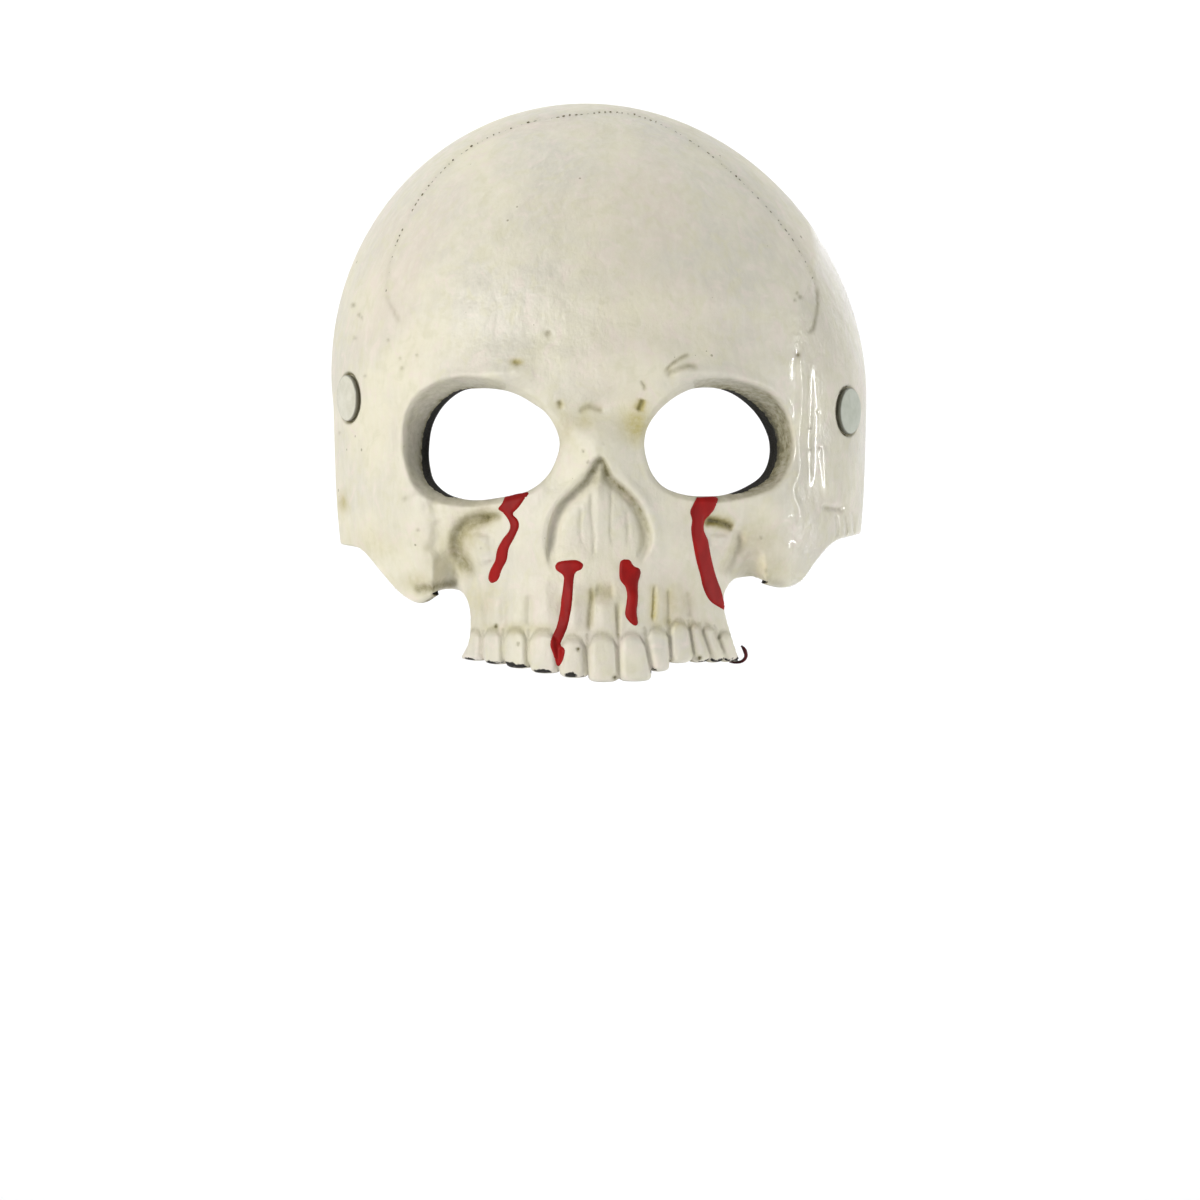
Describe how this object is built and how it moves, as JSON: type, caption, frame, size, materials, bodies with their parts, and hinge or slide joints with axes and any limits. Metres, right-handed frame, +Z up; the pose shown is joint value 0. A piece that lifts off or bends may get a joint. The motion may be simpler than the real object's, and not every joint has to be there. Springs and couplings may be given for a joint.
{
  "type": "skull mask",
  "caption": "Half-face skull mask of moulded foam with open eye holes, upper teeth and an elastic strap riveted at the temples, held up as worn.",
  "frame": {"origin": "middle of the wearer's head, level with the strap rivets at the temples", "axes": "-Y the way the face looks, +X to the right of someone facing the mask, +Z up as worn"},
  "size_m": [0.1769, 0.202, 0.1914],
  "materials": {
    "bone_painted_foam": "bone-white latex paint brushed on moulded foam, satin, stained in its hollows",
    "dark_foam": "bare dark grey moulded foam skin, matt",
    "red_paint": "thick glossy red paint drips",
    "painted_rivet": "bone-white paint over a pressed metal rivet head",
    "dark_cap": "black lacquered pressed metal",
    "black_elastic": "woven black elastic band with fine lengthwise ribs"
  },
  "bodies": {
    "root": {"mask_shell": "bone_painted_foam", "rivet_left": "painted_rivet", "rivet_right": "painted_rivet", "rivet_cap_left": "dark_cap", "rivet_cap_right": "dark_cap", "head_strap": "black_elastic"}
  },
  "joints": []
}
